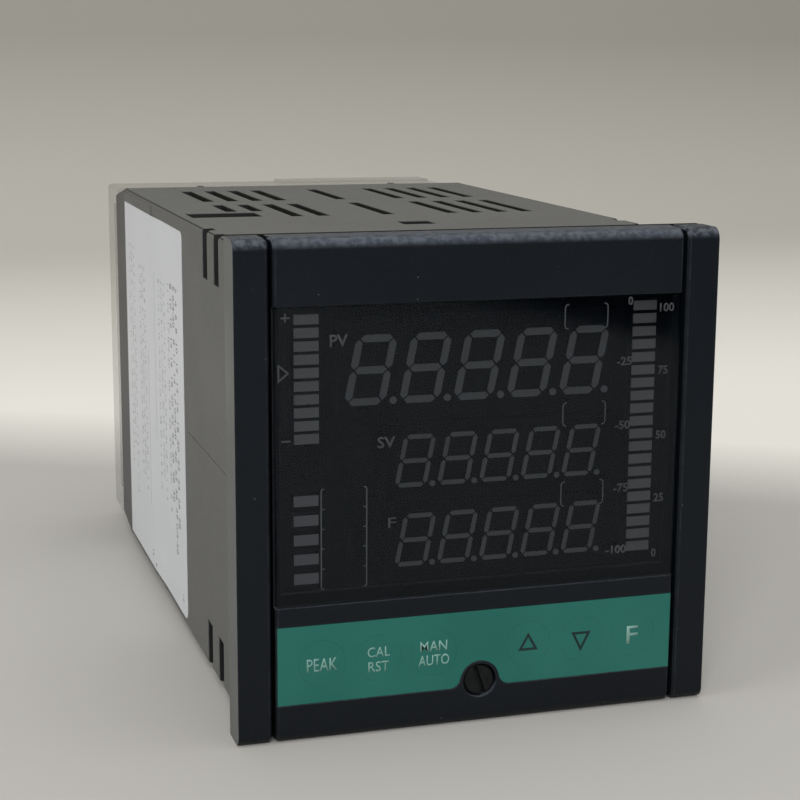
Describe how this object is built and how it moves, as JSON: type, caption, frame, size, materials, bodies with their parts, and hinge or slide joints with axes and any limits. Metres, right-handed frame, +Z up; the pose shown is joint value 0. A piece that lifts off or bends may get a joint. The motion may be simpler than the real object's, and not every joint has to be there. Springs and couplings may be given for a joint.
{
  "type": "pid temperature controller",
  "caption": "Panel-mount PID temperature controller: square dark front with digital displays, bar graphs and keys, long vented case, clear cover over rear terminals.",
  "frame": {"origin": "centre of the footprint, at the lowest edge of the front bezel", "axes": "+X to the right seen from the front, +Y from the front face to the terminals, +Z up"},
  "size_m": [0.096, 0.1788, 0.096],
  "materials": {
    "case_plastic": "fine spark texture, dark grey",
    "gasket_rubber": "matte black",
    "label_sheet": "light grey printed sheet, left blank",
    "insert_brass": "turned",
    "housing_plastic": "fine spark texture, dark grey",
    "strip_plastic": "black moulding",
    "plated_steel": "zinc plated",
    "socket_plastic": "black moulding",
    "clear_plastic": "clear, slightly warm",
    "bezel_plastic": "fine spark texture, near black",
    "window_plastic": "dark tinted, gloss",
    "film_plastic": "satin green printed film",
    "screw_dark": "blackened steel",
    "switch_plastic": "black moulding",
    "display_plastic": "smoked dark face",
    "segment_plastic": "unlit diffusing grey",
    "mask_plastic": "black sheet",
    "board_laminate": "green solder mask",
    "carrier_plastic": "black moulding",
    "chip_plastic": "black epoxy",
    "relay_plastic": "blue cases",
    "capacitor_sleeve": "black sleeve",
    "core_steel": "laminations",
    "winding_tape": "yellow tape"
  },
  "bodies": {
    "case": {"case_sleeve": "case_plastic", "panel_gasket": "gasket_rubber", "side_label": "label_sheet", "screw_insert": "insert_brass", "rear_housing": "housing_plastic", "terminal_strip_left": "strip_plastic", "terminal_strip_middle": "strip_plastic", "terminal_strip_right": "strip_plastic", "terminal_clamps": "plated_steel", "terminal_screws": "plated_steel", "rear_sockets": "socket_plastic"},
    "instrument": {"front_bezel": "bezel_plastic", "bezel_seal": "gasket_rubber", "display_window": "window_plastic", "keypad_film": "film_plastic", "key_switches": "switch_plastic", "pv_display": "display_plastic", "sv_display": "display_plastic", "set_display": "display_plastic", "pv_segments": "segment_plastic", "sv_segments": "segment_plastic", "set_segments": "segment_plastic", "deviation_bargraph": "display_plastic", "deviation_segments": "segment_plastic", "level_bargraph": "display_plastic", "level_segments": "segment_plastic", "status_lamps": "segment_plastic", "display_mask": "mask_plastic", "display_board": "board_laminate", "board_carrier": "carrier_plastic", "carrier_screws": "plated_steel", "processor_board": "board_laminate", "output_board": "board_laminate", "power_board": "board_laminate", "processor_chips": "chip_plastic", "output_relays": "relay_plastic", "filter_capacitors": "capacitor_sleeve", "transformer_core": "core_steel", "transformer_winding": "winding_tape", "board_headers": "socket_plastic"},
    "front_screw": {"front_screw": "screw_dark", "screw_clip": "screw_dark"},
    "terminal_cover": {"terminal_cover": "clear_plastic"},
    "key_peak": {"key_peak": "film_plastic"},
    "key_calibrate": {"key_calibrate": "film_plastic"},
    "key_auto": {"key_auto": "film_plastic"},
    "key_raise": {"key_raise": "film_plastic"},
    "key_lower": {"key_lower": "film_plastic"},
    "key_function": {"key_function": "film_plastic"}
  },
  "joints": [
    {"name": "instrument_slide", "type": "slide", "parent": "case", "child": "instrument", "axis": [0, -1, 0], "range_m": [0, 0.15]},
    {"name": "front_screw_turn", "type": "hinge", "parent": "instrument", "child": "front_screw", "pos_m": [0, -0.0871, 0.0087], "axis": [0, 1, 0], "continuous": true},
    {"name": "terminal_cover_pull", "type": "slide", "parent": "case", "child": "terminal_cover", "axis": [0, 1, 0], "range_m": [0, 0.03]},
    {"name": "key_peak_press", "type": "slide", "parent": "instrument", "child": "key_peak", "axis": [0, 1, 0], "range_m": [0, 0.00035], "stiffness_N_per_m": 3000},
    {"name": "key_calibrate_press", "type": "slide", "parent": "instrument", "child": "key_calibrate", "axis": [0, 1, 0], "range_m": [0, 0.00035], "stiffness_N_per_m": 3000},
    {"name": "key_auto_press", "type": "slide", "parent": "instrument", "child": "key_auto", "axis": [0, 1, 0], "range_m": [0, 0.00035], "stiffness_N_per_m": 3000},
    {"name": "key_raise_press", "type": "slide", "parent": "instrument", "child": "key_raise", "axis": [0, 1, 0], "range_m": [0, 0.00035], "stiffness_N_per_m": 3000},
    {"name": "key_lower_press", "type": "slide", "parent": "instrument", "child": "key_lower", "axis": [0, 1, 0], "range_m": [0, 0.00035], "stiffness_N_per_m": 3000},
    {"name": "key_function_press", "type": "slide", "parent": "instrument", "child": "key_function", "axis": [0, 1, 0], "range_m": [0, 0.00035], "stiffness_N_per_m": 3000}
  ]
}
